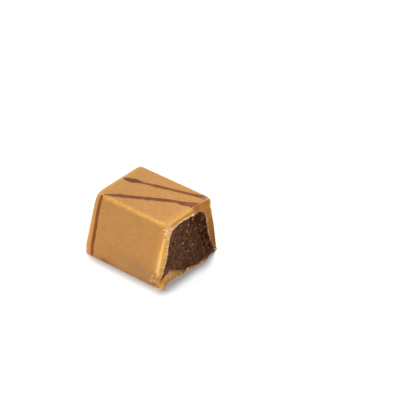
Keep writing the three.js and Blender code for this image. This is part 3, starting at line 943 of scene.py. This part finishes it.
drizzle_dark = (0.148, 0.0515, 0.0235)
drizzle_red = (0.215, 0.067, 0.026)
drizzle_thin = (0.255, 0.070, 0.022)
drizzle_blob = (0.145, 0.052, 0.025)
drizzle_smear = (0.252, 0.076, 0.031)
# Painted glossy reflection, pale and lilac.
drizzle_painted_gloss = (0.36, 0.19, 0.14)

dark = Finish("dark_drizzle")
colour = dark.mix(dark.span(dark.noise(1.6, 3.0), 0.35, 0.65), drizzle_dark, drizzle_red)
colour = dark.mix(dark.mark("thin"), colour, drizzle_thin)
colour = dark.mix(dark.mark("blob"), colour, drizzle_blob)
colour = dark.mix(dark.mark("smear"), colour, drizzle_smear)
# A painted glossy reflection near the cut end of the back thread.
colour = dark.mix(dark.mark("painted_gloss"), colour, drizzle_painted_gloss)
dark.set(Base_Color=colour, Roughness=0.45, Specular_IOR_Level=0.07)
dark.bump(dark.noise(0.3, 3.0), 0.02, 0.3)
for name, stops, seed in (("front_thread", front_thread, 61), ("top_thread", top_thread, 66),
                          ("back_thread", back_thread, 71)):
    thread_loops, widths = thread(stops, seed)
    x, y, _ = np.moveaxis(thread_loops, -1, 0)
    beyond = x - cut_x
    # A painted glossy reflection near the cut end of the back thread.
    painted_gloss = 0.2 * smooth(beyond, -2.2, -1.6) + 0.5 * smooth(beyond, -1.4, -0.6)
    piece = make_piece(name, thread_loops, tube_faces(*x.shape), {
        "thin": np.broadcast_to(1 - smooth(widths, 0.95, 1.4)[:, None], x.shape),
        "blob": (1 - smooth(beyond, -16.5, -15.2)) * (y > 0),
        "smear": smooth(beyond, -3.2, -2.0) * (y < between_threads),
        "painted_gloss": painted_gloss * (y > between_threads),
    })
    piece.data.materials.append(dark.material)


# Crumbs. Grains of shell that the knife and the splintering left clinging to the rim, thickest at
# the top front corner and along the foot, and to the crumbled patch beside the front foot.
crumbs = Bits(9)
chance = crumbs.chance


def crumb_on_rim(k, shares, sizes, tones):
    """A crumb at a place round the rim, the rest of it drawn from those ranges."""
    share, size, tone = chance.uniform(*shares), chance.uniform(*sizes), chance.uniform(*tones)
    x, y, z = rim_point(share)[k]
    crumbs.add((x + 0.2 * size, y, max(z, 0.8 * size)), size, tone)


front_places = np.flatnonzero(on_front & (skin_z > 2.0))
ridge_places = np.flatnonzero(on_front & (skin_z > 3.2) & (skin_z < 7.5))
corner_places = np.flatnonzero((skin_y < -5.9) & (skin_z > 12.0))
base_places = np.flatnonzero(on_base & ((skin_y < 4.5) | (skin_y > 9.3)))
top_places = np.flatnonzero(on_top & (skin_y < 3.0))
tip_places = np.flatnonzero(on_base & (skin_y < -9.2))[::2]
for places, number, shares, sizes, tones in (
    (front_places, 40, (0.6, 1.0), (0.07, 0.15), (0.4, 1.0)),
    (ridge_places, 36, (0.0, 0.25), (0.06, 0.13), (0.5, 1.0)),
    (corner_places, 36, (0.0, 1.0), (0.1, 0.22), (0.6, 1.0)),
    (base_places, 110, (0.0, 0.9), (0.08, 0.22), (0.0, 0.6)),
    (top_places, 60, (0.74, 1.0), (0.08, 0.2), (0.6, 1.0)),
):
    for _ in range(number):
        crumb_on_rim(chance.choice(places), shares, sizes, tones)

# Larger crumbs low on the cut: their places across and up it, their sizes and their tones.
large_crumbs = ((9.3, 1.3, 0.24, 0.2), (8.9, 0.8, 0.2, 0.0),
                (-0.4, 0.4, 0.36, 0.75), (-0.9, 0.3, 0.28, 0.4))
for y, z, size, tone in large_crumbs:
    crumbs.add((cut_x + 0.05 + lip_relief(y, z), y, z), size, tone)

# Crumbs on the crumbled patch, which leave its streak of filling bare.
for _ in range(60):
    x, along = cut_x + chance.uniform(-2.9, -0.5), chance.uniform(0.25, 3.2)
    bare = foot_stain(x - cut_x, np.interp(along, around, skin_z)) > 0.12
    if not bare and foot_patch(x, along) > 0.3:
        size = chance.uniform(0.1, 0.28)
        crumbs.add(on_skin_at(x, along, 0.25 * size), size, chance.uniform(0.0, 0.55))

# Crumbs at the tip of the front foot, and pale ones along it: their places beyond the cut and up
# the front, and their sizes.
for k in tip_places:
    crumb_on_rim(k, (0.02, 0.12), (0.1, 0.18), (0.3, 0.7))
foot_crumbs = ((-0.6, 0.25, 0.24), (-0.25, 0.2, 0.26), (0.1, 0.25, 0.28), (0.35, 0.4, 0.28))
for beyond, along, size in foot_crumbs:
    crumbs.add(on_skin_at(cut_x + beyond, along, 0.08), size, chance.uniform(0.85, 1.0))
crumb_piece = crumbs.make("shell_crumbs")

crumb_tan = (0.64, 0.305, 0.088)
crumb_pale = (0.98, 0.75, 0.43)

grit = Finish("shell_crumbs")
colour = grit.mix(grit.mark("tone"), crumb_tan, crumb_pale)
colour = grit.mix(grit.span(grit.noise(0.12, 2.0), 0.45, 0.7, 0.0, 0.4), colour, crumb_tan)
grit.set(Base_Color=colour, Roughness=0.4, Specular_IOR_Level=0.4)
crumb_piece.data.materials.append(grit.material)


# The studio. A plain pale floor, a soft light overhead and a little behind, a weaker one behind for
# the sheen on the top, two low fills on the camera's side, and the camera where the photo's was.
floor_mesh = bpy.data.meshes.new("floor")
floor_mesh.from_pydata([(-3, -3, 0), (3, -3, 0), (3, 3, 0), (-3, 3, 0)], [], [(0, 1, 2, 3)])
floor = bpy.data.objects.new("floor", floor_mesh)
bpy.context.scene.collection.objects.link(floor)
paper = Finish("floor_paper")
paper.set(Base_Color=(0.946, 0.977, 1.0), Roughness=0.9, Specular_IOR_Level=0.0)
floor_mesh.materials.append(paper.material)

world = bpy.data.worlds.new("studio")
world.use_nodes = True
world.node_tree.nodes["Background"].inputs["Color"].default_value = (1.0, 1.0, 1.0, 1.0)
world.node_tree.nodes["Background"].inputs["Strength"].default_value = 0.26
bpy.context.scene.world = world


def towards(azimuth, elevation):
    """The direction from the praline at a bearing round it, 0 facing its front, and a height, both
    in degrees."""
    a, e = math.radians(azimuth), math.radians(elevation)
    return Vector((math.sin(a) * math.cos(e), -math.cos(a) * math.cos(e), math.sin(e)))


def soft_light(name, direction, distance, size, power, glint=True):
    """A round soft box aimed at the praline, which may be kept from glinting on it."""
    light = bpy.data.lights.new(name, "AREA")
    light.shape = "DISK"
    light.size = size
    light.energy = power
    lamp = bpy.data.objects.new(name, light)
    lamp.visible_glossy = glint
    lamp.location = direction * distance
    lamp.rotation_euler = direction.to_track_quat("Z", "Y").to_euler()
    bpy.context.scene.collection.objects.link(lamp)


soft_light("overhead", towards(207, 74.5), distance=0.6, size=0.11, power=2.68)
soft_light("back_sheen", towards(215, 40), distance=0.6, size=0.25, power=0.5)
soft_light("left_fill", towards(-70, 12), distance=0.6, size=0.2, power=1.9, glint=False)
soft_light("right_fill", towards(45, 12), distance=0.25, size=0.085, power=0.25, glint=False)

view = towards(39.68, 33.59)
aim = Vector((cut_x - 15.625, 22.88, 0.0)) * MM
camera_distance = 0.428
camera_data = bpy.data.cameras.new("camera")
camera_data.lens = 164.5
camera_data.sensor_width = 36.0
camera_data.clip_start = 0.01
camera_data.clip_end = 20.0
camera = bpy.data.objects.new("camera", camera_data)
camera.location = aim + view * camera_distance
camera.rotation_euler = view.to_track_quat("Z", "Y").to_euler()
bpy.context.scene.collection.objects.link(camera)
bpy.context.scene.camera = camera
bpy.context.scene.view_settings.view_transform = "Standard"
